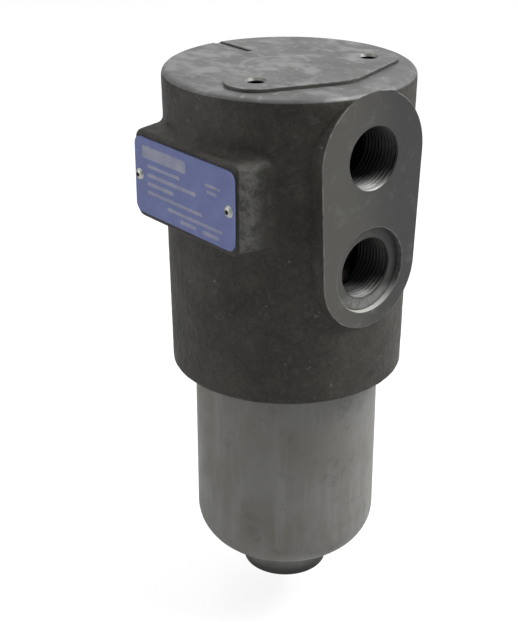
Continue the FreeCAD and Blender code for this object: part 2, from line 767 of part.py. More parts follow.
def pleat_boundary(outer_fold, inner_fold):
    """One side of the folded medium: a fold, a leg, a fold and a leg for each pleat."""
    pitch = 2 * math.pi / pleat_count
    outer_centre_r = pleat_outer_r - pleat_outer_fold_r - pleat_t / 2
    inner_centre_r = pleat_inner_r + pleat_inner_fold_r + pleat_t / 2

    def polar(radius, angle):
        return Vector(radius * math.cos(angle), radius * math.sin(angle), pleat_bottom_z)

    def leg(outer_angle, inner_angle):
        """Ends of the line that touches an outer and an inner fold on opposite sides."""
        outer_centre = polar(outer_centre_r, outer_angle)
        inner_centre = polar(inner_centre_r, inner_angle)
        span = inner_centre - outer_centre
        side = 1 if inner_angle > outer_angle else -1
        heading = math.atan2(span.y, span.x)
        lean = math.acos((outer_fold + inner_fold) / span.Length)
        turn = heading - side * lean
        away = Vector(math.cos(turn), math.sin(turn), 0)
        return outer_centre + away * outer_fold, inner_centre - away * inner_fold

    edges = []
    for index in range(pleat_count):
        tip = index * pitch
        outer_start = leg(tip, tip - pitch / 2)[0]
        outer_end, inner_start = leg(tip, tip + pitch / 2)
        inner_end = leg(tip + pitch, tip + pitch / 2)[1]
        tip_top = polar(outer_centre_r + outer_fold, tip)
        root_low = polar(inner_centre_r - inner_fold, tip + pitch / 2)
        edges.append(Part.Arc(outer_start, tip_top, outer_end).toShape())
        edges.append(line(outer_end, inner_start))
        edges.append(Part.Arc(inner_start, root_low, inner_end).toShape())
        following = leg(tip + pitch, tip + pitch / 2)[0]
        edges.append(line(inner_end, following))
    return Part.Wire(edges)


def element_pleats():
    """Folded medium as one closed pack of constant thickness."""
    half = pleat_t / 2
    outside = pleat_boundary(pleat_outer_fold_r + half, pleat_inner_fold_r - half)
    inside = pleat_boundary(pleat_outer_fold_r - half, pleat_inner_fold_r + half)
    pack = Part.Face(outside).cut(Part.Face(inside))
    return pack.extrude(Vector(0, 0, pleat_top_z - pleat_bottom_z)).Solids[0]


def element_core_tube():
    """Perforated tube, its rows of holes staggered."""
    core = tube(core_r, core_r - core_wall, pleat_bottom_z, pleat_top_z)
    row_gap = (pleat_top_z - pleat_bottom_z) / (core_hole_rows + 1)
    step = 360.0 / core_holes_round
    drills = []
    for row in range(core_hole_rows):
        z = pleat_bottom_z + row_gap * (row + 1)
        for hole in range(core_holes_round):
            turn = math.radians(step * hole + (row % 2) * step / 2)
            outwards = Vector(math.cos(turn), math.sin(turn), 0)
            start = outwards * (core_r - 3 * core_wall) + Vector(0, 0, z)
            drills.append(Part.makeCylinder(core_hole_r, 6 * core_wall, start, outwards))
    return core.cut(Part.makeCompound(drills))


def element_bands():
    """Two thin bands that hold the pleats' outer folds."""
    third = (pleat_top_z - pleat_bottom_z) / 3
    bands = []
    for index in (1, 2):
        middle = pleat_bottom_z + third * index
        bands.append(tube(pleat_outer_r + band_t, pleat_outer_r, middle - band_w / 2, middle + band_w / 2))
    return Part.makeCompound(bands)


def element_spring():
    low = bowl_floor_z
    high = element_bottom_z - spring_end_gap
    return helical_spring(element_spring_wire_r, element_spring_coil_r, element_active_coils, low, high)


def main():
    bowl_ring, bowl_backup = bowl_seals()
    plug, plug_seal = drain_plug()
    spigot, spigot_seal = element_spigot()
    shapes = {
        "filter_head": filter_head(),
        "filter_bowl": filter_bowl(),
        "bowl_o_ring": bowl_ring,
        "bowl_backup_ring": bowl_backup,
        "name_plate": name_plate(),
        "plate_rivets": Part.makeCompound([plate_rivet(y) for y in rivet_places()]),
        "drain_plug": plug,
        "drain_plug_seal": plug_seal,
        "element_spigot": spigot,
        "spigot_o_ring": spigot_seal,
        "bypass_seat": bypass_seat(),
        "bypass_poppet": bypass_poppet(),
        "bypass_spring": bypass_spring(),
        "element_top_cap": element_top_cap(),
        "element_o_ring": element_o_ring(),
        "element_pleats": element_pleats(),
        "element_core_tube": element_core_tube(),
        "element_bands": element_bands(),
        "element_bottom_cap": element_bottom_cap(),
        "element_spring": element_spring(),
    }
    os.makedirs("parts", exist_ok=True)
    for node, shape in shapes.items():
        shape.exportStep("parts/" + node + ".step")
        print(node, "solids", len(shape.Solids), "valid", shape.isValid(), "volume", round(shape.Volume, 1))


main()
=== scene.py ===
"""Looks of a bowl-type hydraulic pressure filter: cast head, blue plate, steel bowl.

Metres, +Z up, the origin on the filter's axis in the plane of the mounting pad.
"""
import json
import math

import bmesh
import bpy
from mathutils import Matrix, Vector, noise


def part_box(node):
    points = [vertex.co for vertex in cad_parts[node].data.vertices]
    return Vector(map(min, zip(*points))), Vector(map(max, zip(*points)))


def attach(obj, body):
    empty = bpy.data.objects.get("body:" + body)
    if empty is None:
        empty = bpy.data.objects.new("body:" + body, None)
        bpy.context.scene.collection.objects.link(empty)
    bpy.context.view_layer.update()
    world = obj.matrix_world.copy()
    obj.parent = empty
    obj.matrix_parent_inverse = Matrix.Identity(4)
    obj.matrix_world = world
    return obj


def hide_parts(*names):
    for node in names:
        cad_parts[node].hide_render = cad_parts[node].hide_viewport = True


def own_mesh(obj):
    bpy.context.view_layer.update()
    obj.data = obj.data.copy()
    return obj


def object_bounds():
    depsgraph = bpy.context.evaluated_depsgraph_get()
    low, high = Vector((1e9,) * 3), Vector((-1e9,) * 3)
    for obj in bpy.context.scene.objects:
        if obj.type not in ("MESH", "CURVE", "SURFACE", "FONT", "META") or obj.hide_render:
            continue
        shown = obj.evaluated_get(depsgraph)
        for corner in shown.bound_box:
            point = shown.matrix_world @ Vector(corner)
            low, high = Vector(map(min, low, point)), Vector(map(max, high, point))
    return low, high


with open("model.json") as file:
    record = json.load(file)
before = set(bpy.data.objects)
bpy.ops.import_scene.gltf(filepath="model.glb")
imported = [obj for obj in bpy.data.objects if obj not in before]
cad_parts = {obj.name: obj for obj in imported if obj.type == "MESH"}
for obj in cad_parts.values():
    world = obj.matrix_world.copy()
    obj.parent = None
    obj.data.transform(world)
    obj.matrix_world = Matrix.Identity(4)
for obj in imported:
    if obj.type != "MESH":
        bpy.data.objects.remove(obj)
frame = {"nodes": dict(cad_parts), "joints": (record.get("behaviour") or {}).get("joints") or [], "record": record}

MM = 0.001
nodes = frame["nodes"]
record = frame["record"]
mounts = {mount["name"]: mount for mount in record["mounts"]}
cad_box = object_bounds()
head_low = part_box("filter_head")[0]
plate_low, plate_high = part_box("name_plate")

# Camera: the photograph's place, heading and focal length
CAMERA_PLACE = Vector((-0.3417, -0.3931, 0.1305))
CAMERA_HEADING_DEG = 50.29
CAMERA_PITCH_DEG = -24.51
FOCAL_PX = 1357.63
PHOTO_HEIGHT_PX = 622
SENSOR_HEIGHT_MM = 24.0
CLIP_START = 10 * MM

# Floor and light tent: white all round, darker on the side where the camera looks in
FLOOR_HALF = 6.0
FLOOR_DROP = 1.0 * MM
FLOOR_COLOR = 0.62
FLOOR_GLOW = 0.60
FLOOR_STRENGTH = 1.40
TENT_FILL = 0.48
TENT_DARK = 0.23
TENT_SHINE = 0.68
TENT_BRIGHT_FROM = -0.2
TENT_DARK_FROM = 0.8

# Lamps: the point that they aim at, then name, place, width and height in metres, and power in watts
LAMP_TARGET = (0.0, 0.0, -0.1)
SOFTBOXES = (
    ("key", (0.50, -0.48, 0.75), 0.6, 0.6, 14.5),
    ("top", (0.05, 0.35, 0.80), 0.7, 0.7, 3.2),
    ("left", (-0.75, 0.40, 0.00), 0.5, 0.9, 2.2),
    ("right", (0.80, -0.25, 0.00), 0.4, 0.9, 0.8),
)

# Head: the finishes of its faces
CAST, TOP, FACE, BORE, EDGE = range(5)

# Head: merging of its mesh, rounding of its machined edges and shading of its flat faces
MERGE = 0.001 * MM
FLAT_ANGLE_DEG = 0.2
EDGE_ROUND = 0.35 * MM
EDGE_ANGLE_DEG = 60.0
SHARP_ANGLE = math.radians(30.0)
FLAT_AREA = 25.0 * MM ** 2

# Head: facets and relief of the casting, whose lumps are a noise of this falloff, spread and octaves
CAST_FACET = 2.0 * MM
CAST_ROUNDS = 6
CAST_LUMP = 4.0 * MM
CAST_NOISE = (1.0, 2.0, 3)
CAST_RELIEF = 0.10 * MM
CAST_LEVEL = 0.6

# Head: places and directions that tell which finish a face has
PAD_RISE = 1.5 * MM
RIM_Z = -6.0 * MM
RIM_TURN = 0.45
GROOVE_Z = -2.6 * MM
SPOT_DEPTH = 2.5 * MM
SPOT_R = 17.2 * MM
MOUNT_REACH = 4.4 * MM
INSIDE_R = 42.5 * MM
BOSS_SIDE_X = -46.0 * MM
BOSS_ROOT_X = -40.0 * MM
NEAR = 0.05 * MM
FACING = 0.98
ACROSS = 0.02

# Head: the faint ring that turning left on the top
TURNED_RING_R = 13.0 * MM
TURNED_RING_MIDDLE = (-4.3 * MM, 3.6 * MM, 0.0)

# Bowl: the height under which the painted shade at its foot is darkest
BOWL_FOOT_Z = -227.0 * MM

# Name plate: its rivets and its plain pale fields, each field as left, right, bottom and top from the
# plate's middle in mm
RIVET_INSET = 3.0 * MM
DIMPLE_R = 0.95 * MM
FIELD_RISE = 0.02 * MM
FIELD_CORNER_R = 0.5 * MM
FIELD_CORNER_STEPS = 4
FIELDS_MM = (
    (-26.0, 2.0, 7.5, 12.5),
    (-23.0, -2.0, 4.0, 5.4),
    (-23.0, 8.0, 0.2, 1.8),
    (-23.0, -6.0, -3.4, -1.8),
    (14.0, 23.0, 6.2, 7.4),
    (15.0, 21.0, 3.6, 4.8),
    (-23.0, 12.0, -6.8, -5.4),
    (-10.0, 24.0, -10.4, -9.0),
    (-2.0, 8.0, -13.4, -11.8),
    (12.0, 22.0, -13.4, -11.8),
)

# Threads: G 3/4 in the ports, of which the lower ends in the chamber, and M8 in the mounting holes
CHAMBER_R = 31.5 * MM
PORT_WALL_Y = -25.2 * MM
PORT_LENGTH = 18.0 * MM
PORT_CHAMFER = 0.5 * MM
PORT_PITCH = 1.814 * MM
PORT_THREAD_DEPTH = 0.9 * MM
MOUNT_CHAMFER = 0.9 * MM
MOUNT_DEPTH = 15.0 * MM
MOUNT_PITCH = 1.25 * MM
MOUNT_THREAD_DEPTH = 0.5 * MM
THREAD_RUNOUT = 0.6
STEPS_ROUND = 96
STEPS_PER_PITCH = 8


def heading_vector(heading_deg, pitch_deg):
    """Direction of a heading, counted from +X toward +Y, and a pitch above the horizon."""
    heading = math.radians(heading_deg)
    pitch = math.radians(pitch_deg)
    level = math.cos(pitch)
    return Vector((level * math.cos(heading), level * math.sin(heading), math.sin(pitch)))


def aim(thing, place, direction):
    thing.location = place
    thing.rotation_euler = direction.to_track_quat("-Z", "Y").to_euler()


def make_camera():
    data = bpy.data.cameras.new("camera")
    data.sensor_fit = "VERTICAL"
    data.sensor_height = SENSOR_HEIGHT_MM
    data.lens = FOCAL_PX / PHOTO_HEIGHT_PX * SENSOR_HEIGHT_MM
    data.clip_start = CLIP_START
    camera = bpy.data.objects.new("camera", data)
    bpy.context.scene.collection.objects.link(camera)
    aim(camera, CAMERA_PLACE, heading_vector(CAMERA_HEADING_DEG, CAMERA_PITCH_DEG))
    bpy.context.scene.camera = camera


class Graph:
    """One node material, built a node at a time. A plain value sets a socket, a socket links it."""

    def __init__(self, name):
        self.material = bpy.data.materials.new(name)
        self.material.use_nodes = True
        self.tree = self.material.node_tree
        self.tree.nodes.clear()
        self.output = self.tree.nodes.new("ShaderNodeOutputMaterial")

    def node(self, kind, settings=None, **inputs):
        made = self.tree.nodes.new(kind)
        for key, value in (settings or {}).items():
            setattr(made, key, value)
        for key, value in inputs.items():
            self.feed(made, key.replace("_", " "), value)
        return made

    def feed(self, made, key, value):
        socket = made.inputs[int(key)] if key.isdigit() else made.inputs[key]
        if isinstance(value, bpy.types.NodeSocket):
            self.tree.links.new(value, socket)
        else:
            socket.default_value = value

    def place(self):
        """Coordinates of the piece itself, in metres."""
        return self.node("ShaderNodeTexCoord").outputs["Object"]

    def parts(self):
        """X, Y and Z of the place on the piece."""
        return self.node("ShaderNodeSeparateXYZ", Vector=self.place()).outputs

    def facing(self):
        """X, Y and Z of the way that the surface faces."""
        normal = self.node("ShaderNodeNewGeometry").outputs["Normal"]
        return self.node("ShaderNodeSeparateXYZ", Vector=normal).outputs

    def stretched(self, scale):
        return self.node("ShaderNodeMapping", Vector=self.place(), Scale=scale).outputs[0]

    def noise(self, size, detail, rough, where=None, seed=0.0):
        """Soft noise whose lumps are about this many metres wide."""
        settings = {"noise_dimensions": "4D"}
        made = self.node("ShaderNodeTexNoise", settings, Vector=where or self.place(), W=seed)
        self.feed(made, "Scale", 1.0 / size)
        self.feed(made, "Detail", detail)
        self.feed(made, "Roughness", rough)
        return made.outputs[0]

    def math(self, operation, first, second=0.0):
        made = self.node("ShaderNodeMath", {"operation": operation})
        self.feed(made, "0", first)
        self.feed(made, "1", second)
        return made.outputs[0]

    def distance(self, where, centre):
        made = self.node("ShaderNodeVectorMath", {"operation": "DISTANCE"})
        self.feed(made, "0", where)
        self.feed(made, "1", centre)
        return made.outputs["Value"]

    def spot_radius(self, parts):
        """Distance from the lower port's axis."""
        flat = self.node("ShaderNodeCombineXYZ", X=parts["X"], Z=parts["Z"]).outputs[0]
        return self.distance(flat, (0.0, 0.0, mount_place("port_lower").z))

    def both(self, first, second):
        """Share where two shares meet."""
        return self.math("MULTIPLY", first, second)

    def band(self, value, low, high, to_low=0.0, to_high=1.0):
        """Smooth step of a value from one range to another."""
        made = self.node("ShaderNodeMapRange", {"interpolation_type": "SMOOTHSTEP"}, Value=value)
        limits = (("From Min", low), ("From Max", high), ("To Min", to_low), ("To Max", to_high))
        for key, number in limits:
            self.feed(made, key, number)
        return made.outputs[0]

    def ramp(self, value, stops):
        """Colours along a value, as stops of position and colour."""
        made = self.node("ShaderNodeValToRGB", Fac=value)
        ramp = made.color_ramp
        while len(ramp.elements) < len(stops):
            ramp.elements.new(0.5)
        for element, (at, color) in zip(ramp.elements, stops):
            element.position = at
            element.color = (*color, 1.0)
        return made.outputs[0]

    def mix(self, factor, first, second):
        """Mix of two colours, each a socket or three numbers."""
        made = self.node("ShaderNodeMix", {"data_type": "RGBA"})
        self.feed(made, "0", factor)
        self.feed(made, "6", first if isinstance(first, bpy.types.NodeSocket) else (*first, 1.0))
        self.feed(made, "7", second if isinstance(second, bpy.types.NodeSocket) else (*second, 1.0))
        return made.outputs[2]

    def blend(self, factor, first, second):
        """Mix of two shaders."""
        made = self.node("ShaderNodeMixShader")
        for key, value in (("0", factor), ("1", first), ("2", second)):
            self.feed(made, key, value)
        return made.outputs[0]

    def bump(self, height, depth, under=None):
        """Normal of a relief this many metres deep, on top of another relief."""
        made = self.node("ShaderNodeBump", Height=height, Strength=1.0, Distance=depth)
        if under is not None:
            self.feed(made, "Normal", under)
        return made.outputs[0]

    def finish(self, color, roughness, metallic=0.0, normal=None, **more):
        """Principled surface on the output; returns the finished material."""
        shader = self.node("ShaderNodeBsdfPrincipled", None, **more)
        self.feed(shader, "Base Color", color if isinstance(color, bpy.types.NodeSocket) else (*color, 1.0))
        self.feed(shader, "Roughness", roughness)
        self.feed(shader, "Metallic", metallic)
        if normal is not None:
            self.feed(shader, "Normal", normal)
        self.tree.links.new(shader.outputs[0], self.output.inputs[0])
        return self.material


def cast_material():
    """Dark phosphated sand casting: rough grain, dusty patches, a few chips, and pale scuffs with painted light on
    the boss side toward the ports.
    """
    graph = Graph("cast_iron_dark")
    patches = graph.noise(24 * MM, 5.0, 0.62)
    mottle = graph.noise(3.6 * MM, 6.0, 0.74, seed=3.0)
    grain = graph.noise(1.1 * MM, 3.0, 0.65, seed=7.0)
    scuffs = graph.noise(9 * MM, 6.0, 0.72, seed=15.0)
    color = graph.ramp(patches, [(0.34, (0.0225, 0.021, 0.0170)), (0.66, (0.048, 0.045, 0.0375))])
    color = graph.mix(graph.band(mottle, 0.48, 0.70, 0.0, 0.60), color, (0.068, 0.066, 0.058))
    color = graph.mix(graph.band(scuffs, 0.60, 0.72, 0.0, 0.65), color, (0.120, 0.118, 0.110))
    color = graph.mix(graph.band(grain, 0.42, 0.70, 0.0, 0.5), color, (0.008, 0.0075, 0.006))
    # The boss side toward the ports: pale scuffs, and painted light that makes that side lighter
    toward_ports = graph.band(graph.facing()["Y"], -0.95, -0.75, 1.0, 0.0)
    on_boss = graph.band(graph.parts()["X"], BOSS_SIDE_X, BOSS_ROOT_X, 1.0, 0.0)
    patchy = graph.both(graph.both(toward_ports, on_boss), graph.band(mottle, 0.38, 0.62, 0.10, 1.0))
    color = graph.mix(patchy, color, (0.092, 0.091, 0.087))
    chips = graph.noise(4.5 * MM, 3.0, 0.8, seed=21.0)
    color = graph.mix(graph.band(chips, 0.66, 0.72, 0.0, 0.7), color, (0.140, 0.137, 0.128))
    relief = graph.bump(graph.noise(3.2 * MM, 5.0, 0.62, seed=11.0), 0.50 * MM)
    relief = graph.bump(grain, 0.18 * MM, relief)
    roughness = graph.band(patches, 0.3, 0.7, 0.62, 0.52)
    return graph.finish(color, roughness, 0.0, relief, Specular_IOR_Level=0.32)


def top_material():
    """Machined and phosphated top: pale scuffs on mid grey, with a faint turned ring in the middle."""
    graph = Graph("machined_top")
    patches = graph.noise(18 * MM, 5.0, 0.62)
    scuffs = graph.noise(11 * MM, 4.0, 0.58, graph.stretched((1.0, 0.7, 1.0)), 5.0)
    spots = graph.noise(3.6 * MM, 4.0, 0.62, seed=8.0)
    color = graph.ramp(patches, [(0.34, (0.060, 0.060, 0.059)), (0.66, (0.110, 0.110, 0.109))])
    color = graph.mix(graph.band(spots, 0.50, 0.70, 0.0, 0.35), color, (0.066, 0.065, 0.063))
    color = graph.mix(graph.band(scuffs, 0.50, 0.64, 0.0, 0.62), color, (0.19, 0.19, 0.19))
    color = graph.mix(graph.band(spots, 0.57, 0.67, 0.0, 0.50), color, (0.22, 0.22, 0.22))
    from_middle = graph.distance(graph.place(), TURNED_RING_MIDDLE)
    off_ring = graph.math("ABSOLUTE", graph.math("SUBTRACT", from_middle, TURNED_RING_R))
    ring = graph.both(graph.band(off_ring, 0.3 * MM, 1.4 * MM, 0.6, 0.0), graph.band(patches, 0.45, 0.6))
    color = graph.mix(ring, color, (0.20, 0.20, 0.20))
    relief = graph.bump(graph.noise(2.5 * MM, 5.0, 0.6, seed=2.0), 0.12 * MM)
    roughness = graph.band(scuffs, 0.4, 0.7, 0.50, 0.36)
    return graph.finish(color, roughness, 0.0, relief)


def face_material():
    """Milled port face: darker than the top, with painted light that makes it paler toward its left, and a painted
    highlight at the bottom of the spot face.
    """
    graph = Graph("milled_face")
    patches = graph.noise(20 * MM, 4.0, 0.6)
    mottle = graph.noise(6 * MM, 5.0, 0.70, seed=5.0)
    parts = graph.parts()
    # Painted light: the face paler toward its left and darker toward its right
    drifting = graph.math("ADD", parts["X"], graph.math("MULTIPLY", patches, 20 * MM))
    color = graph.mix(graph.band(drifting, -6 * MM, 26 * MM), (0.066, 0.064, 0.057), (0.034, 0.034, 0.034))
    color = graph.mix(graph.band(mottle, 0.52, 0.72, 0.0, 0.60), color, (0.105, 0.105, 0.100))
    # Painted highlight: pale at the bottom of the spot face, where light from above falls
    lower_z = mount_place("port_lower").z
    inside = graph.band(graph.spot_radius(parts), SPOT_R - 1 * MM, SPOT_R, 1.0, 0.0)
    low = graph.band(parts["Z"], lower_z - 13 * MM, lower_z - 8 * MM, 1.0, 0.0)
    patchy = graph.both(graph.both(inside, low), graph.band(mottle, 0.38, 0.60, 0.25, 1.0))
    color = graph.mix(patchy, color, (0.19, 0.19, 0.185))
    relief = graph.bump(graph.noise(1.5 * MM, 4.0, 0.6, seed=2.0), 0.05 * MM)
    roughness = graph.band(patches, 0.3, 0.7, 0.54, 0.44)
    return graph.finish(color, roughness, 0.0, relief, Specular_IOR_Level=0.4)


def bore_material():
    """Cut threads and passages: dark oily metal, with painted shade deeper in and a painted highlight on the
    upward walls at each port's mouth.
    """
    graph = Graph("cut_bore")
    grain = graph.noise(1.2 * MM, 4.0, 0.6)
    color = graph.ramp(grain, [(0.3, (0.014, 0.014, 0.014)), (0.7, (0.042, 0.042, 0.040))])
    depth = graph.math("SUBTRACT", graph.parts()["Y"], head_low.y)
    # Painted shade: darker deeper in the bore
    color = graph.mix(graph.band(depth, 4 * MM, 12 * MM, 0.0, 0.7), color, (0.005, 0.005, 0.005))
    # Painted highlight on the upward walls near each port's mouth
    upward = graph.band(graph.facing()["Z"], 0.45, 0.80)
    painted_mouth_highlight = graph.both(upward, graph.band(depth, 4 * MM, 11 * MM, 1.0, 0.0))
    color = graph.mix(painted_mouth_highlight, color, (0.29, 0.29, 0.28))
    roughness = graph.band(grain, 0.3, 0.7, 0.50, 0.38)
    return graph.finish(color, roughness, 0.2, graph.bump(grain, 0.02 * MM), Specular_IOR_Level=0.35)


def edge_material():
    """Worn machined edge, brighter than the faces beside it, with a painted highlight at the foot of the spot
    face.
    """
    graph = Graph("worn_edge_painted_highlight")
    wear = graph.noise(3 * MM, 4.0, 0.6)
    color = graph.ramp(wear, [(0.35, (0.07, 0.068, 0.062)), (0.65, (0.20, 0.20, 0.19))])
    # Painted highlight at the foot of the spot face, on the walls that face up
    inside = graph.band(graph.spot_radius(graph.parts()), SPOT_R + 0.5 * MM, SPOT_R + 1.5 * MM, 1.0, 0.0)
    foot = graph.both(inside, graph.band(graph.facing()["Z"], 0.4, 0.9))
    color = graph.mix(foot, color, (0.50, 0.50, 0.47))
    return graph.finish(color, 0.42, 0.2, graph.bump(wear, 0.05 * MM))


def bowl_material():
    """Drawn and phosphated steel: grey-brown, with soft streaks, and painted shade at its foot and a painted
    shadow under the head.
    """
    graph = Graph("bowl_steel_grey")
    clouds = graph.noise(26 * MM, 5.0, 0.62)
    blots = graph.noise(9 * MM, 5.0, 0.68, seed=6.0)
    streaks = graph.noise(6 * MM, 4.0, 0.6, graph.stretched((1.0, 1.0, 0.14)), 4.0)
    color = graph.ramp(clouds, [(0.3, (0.140, 0.134, 0.114)), (0.7, (0.190, 0.189, 0.185))])
    color = graph.mix(graph.band(streaks, 0.45, 0.70, 0.0, 0.50), color, (0.235, 0.234, 0.228))
    color = graph.mix(graph.band(blots, 0.52, 0.70, 0.0, 0.50), color, (0.085, 0.083, 0.077))
    height = graph.parts()["Z"]
    # Painted shade: darkest at the foot, and a painted shadow just under the head's overhang
    foot = graph.band(height, BOWL_FOOT_Z, BOWL_FOOT_Z + 6 * MM, 0.90, 0.0)
    below = graph.band(height, head_low.z - 6 * MM, head_low.z - 1 * MM, 0.0, 0.58)
    above = graph.band(height, head_low.z, head_low.z + 3 * MM, 1.0, 0.0)
    painted_shade = graph.math("MAXIMUM", foot, graph.both(below, above))
    color = graph.mix(painted_shade, color, (0.024, 0.023, 0.021))
    relief = graph.bump(graph.noise(1.2 * MM, 3.0, 0.6, seed=9.0), 0.03 * MM)
    roughness = graph.band(clouds, 0.3, 0.7, 0.56, 0.47)
    return graph.finish(color, roughness, 0.0, relief, Specular_IOR_Level=0.32)


def plate_material(name, dark, light):
    """Anodised sheet with a satin sheen, for the blue plate and for the pale fields on it."""
    graph = Graph(name)
    clouds = graph.noise(9 * MM, 4.0, 0.6)
    wear = graph.noise(2.2 * MM, 4.0, 0.7, seed=4.0)
    color = graph.ramp(clouds, [(0.3, dark), (0.7, light)])
    color = graph.mix(graph.band(wear, 0.55, 0.75, 0.0, 0.35), color, tuple(0.6 * part for part in dark))
    relief = graph.bump(graph.noise(0.8 * MM, 3.0, 0.6), 0.01 * MM)
    return graph.finish(color, graph.band(clouds, 0.3, 0.7, 0.48, 0.40), 0.1, relief)


def rivet_material():
    """Plated rivet heads, bright round a dimple with painted shade."""
    graph = Graph("rivet_plated")
    grain = graph.noise(0.9 * MM, 4.0, 0.6)
    shade = graph.ramp(grain, [(0.3, (0.42, 0.42, 0.39)), (0.7, (0.66, 0.66, 0.62))])
    parts = graph.parts()
    level = (plate_low.z + plate_high.z) / 2
    spread = (plate_high.y - plate_low.y) / 2 - RIVET_INSET
    aside = graph.math("SUBTRACT", graph.math("ABSOLUTE", parts["Y"]), spread)
    from_axis = graph.node("ShaderNodeCombineXYZ", Y=aside, Z=parts["Z"]).outputs[0]
    radius = graph.distance(from_axis, (0.0, 0.0, level))
    # Painted shade in the dimple of each rivet head
    dimple = graph.band(radius, 0.9 * DIMPLE_R, 1.1 * DIMPLE_R, 1.0, 0.0)
    color = graph.mix(dimple, shade, (0.020, 0.019, 0.017))
    return graph.finish(color, graph.band(grain, 0.3, 0.7, 0.46, 0.34), 0.7, graph.bump(grain, 0.02 * MM))


def metal_material(name, color, roughness, size=1.2 * MM):
    """Bare or plated metal with a fine grain."""
    graph = Graph(name)
    grain = graph.noise(size, 4.0, 0.6)
    dark = tuple(0.75 * part for part in color)
    shade = graph.ramp(grain, [(0.3, dark), (0.7, color)])
    patchy = graph.band(grain, 0.3, 0.7, roughness + 0.08, roughness)
    return graph.finish(shade, patchy, 1.0, graph.bump(grain, 0.01 * MM))


def matt_material(name, color, roughness, size=1.0 * MM):
    """Rubber, plastic or filter medium."""
    graph = Graph(name)
    grain = graph.noise(size, 4.0, 0.6)
    dark = tuple(0.7 * part for part in color)
    shade = graph.ramp(grain, [(0.3, dark), (0.7, color)])
    return graph.finish(shade, roughness, 0.0, graph.bump(grain, 0.02 * MM))


def set_material(thing, material):
    thing.data.materials.clear()
    thing.data.materials.append(material)


def add_piece(name, mesh, body):
    """New piece of the filter that moves with a body."""
    piece = bpy.data.objects.new(name, mesh)
    bpy.context.scene.collection.objects.link(piece)
    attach(piece, body)
    return piece


def mount_place(name):
    return Vector(mounts[name]["pos_m"])


def mount_size(name, key):
    return mounts[name]["dims"][key] * MM


def joint_travel(name):
    """How far a sliding joint goes, in metres."""
    return next(joint["range_m"][1] for joint in frame["joints"] if joint["name"] == name)


def port_distance(place):
    """Distance of a place from the nearer port's axis."""
    heights = [mount_place(name).z for name in ("port_upper", "port_lower")]
    return min(math.hypot(place.x, place.z - height) for height in heights)


def hole_distance(place):
    """Distance of a place from the nearer mounting hole's axis."""
    half_pitch = mount_size("mounting_holes", "spacing_x_mm") / 2
    return math.hypot(abs(place.x) - half_pitch, place.y - mount_place("mounting_holes").y)


def finish_of(face):
    """Which finish a face of the head has, from where it lies and which way it looks."""
    normal = face.normal
    middle = face.calc_center_median()
    lower = mount_place("port_lower")
    if hole_distance(middle) < MOUNT_REACH and normal.z < FACING:
        return EDGE if normal.z > RIM_TURN else BORE
    if normal.z > FACING and middle.z > -PAD_RISE - NEAR:
        return TOP
    if normal.z < -FACING and middle.z < head_low.z + NEAR:
        return TOP
    if middle.z > RIM_Z and normal.z > RIM_TURN:
        return TOP
    if middle.z > GROOVE_Z:
        return FACE
    if middle.y < head_low.y + SPOT_DEPTH + NEAR:
        behind = middle.y - head_low.y
        if normal.y < -FACING and min(behind, abs(behind - SPOT_DEPTH)) < NEAR:
            return FACE
        off_spot_wall = abs(math.hypot(middle.x, middle.z - lower.z) - SPOT_R)
        if off_spot_wall < NEAR and abs(normal.y) < ACROSS:
            return EDGE
        if port_distance(middle) < mount_size("port_upper", "r_mm") + PORT_CHAMFER:
            return BORE
    if math.hypot(middle.x, middle.y) < INSIDE_R:
        return BORE
    return CAST


def is_thread_wall(face):
    """True for the plain walls that the cut threads take the place of."""
    middle = face.calc_center_median()
    if face.material_index != BORE:
        return False
    if abs(face.normal.y) < ACROSS and middle.y < PORT_WALL_Y and middle.z < GROOVE_Z:
        return abs(port_distance(middle) - mount_size("port_upper", "r_mm")) < NEAR
    if abs(face.normal.z) < ACROSS:
        return abs(hole_distance(middle) - mount_size("mounting_holes", "hole_r_mm")) < NEAR
    return False


def densify(shape, finish, longest, rounds):
    """Split the long edges of one finish's faces, each round halving them once, and drop what collapses."""
    for _ in range(rounds):
        faces = [face for face in shape.faces if face.material_index == finish]
        bmesh.ops.triangulate(shape, faces=[face for face in faces if len(face.verts) > 3])
        shape.edges.index_update()
        long_edges = []
        for edge in shape.edges:
            on_finish = any(face.material_index == finish for face in edge.link_faces)
            if on_finish and edge.calc_length() > longest:
                long_edges.append(edge)
        bmesh.ops.subdivide_edges(shape, edges=long_edges, cuts=1)
        bmesh.ops.remove_doubles(shape, verts=shape.verts, dist=MERGE)
        bmesh.ops.dissolve_degenerate(shape, dist=MERGE, edges=shape.edges)


def roughen(shape, finish):
    """Press the lumps of a sand casting into one finish, but not into the edges of its faces."""
    shape.normal_update()
    for vert in shape.verts:
        if all(face.material_index == finish for face in vert.link_faces):
            lump = noise.fractal(vert.co / CAST_LUMP, *CAST_NOISE)
            vert.co += vert.normal * min(0.0, (lump - CAST_LEVEL) * CAST_RELIEF)


def set_flat_normals(mesh):
    """Keep large flat faces flat, and start the fillets of the same finish from their normals."""
    flat = {}
    for face in mesh.polygons:
        if face.area > FLAT_AREA:
            for vert in face.vertices:
                flat.setdefault((vert, face.material_index), []).append(face.normal.copy())
    normals = []
    for face in mesh.polygons:
        for loop in face.loop_indices:
            vert = mesh.loops[loop].vertex_index
            near = [normal for normal in flat.get((vert, face.material_index), [])
                    if normal.dot(face.normal) > math.cos(SHARP_ANGLE)]
            own = mesh.corner_normals[loop].vector
            normals.append(max(near, key=face.normal.dot) if near else own.copy())
    mesh.normals_split_custom_set(normals)


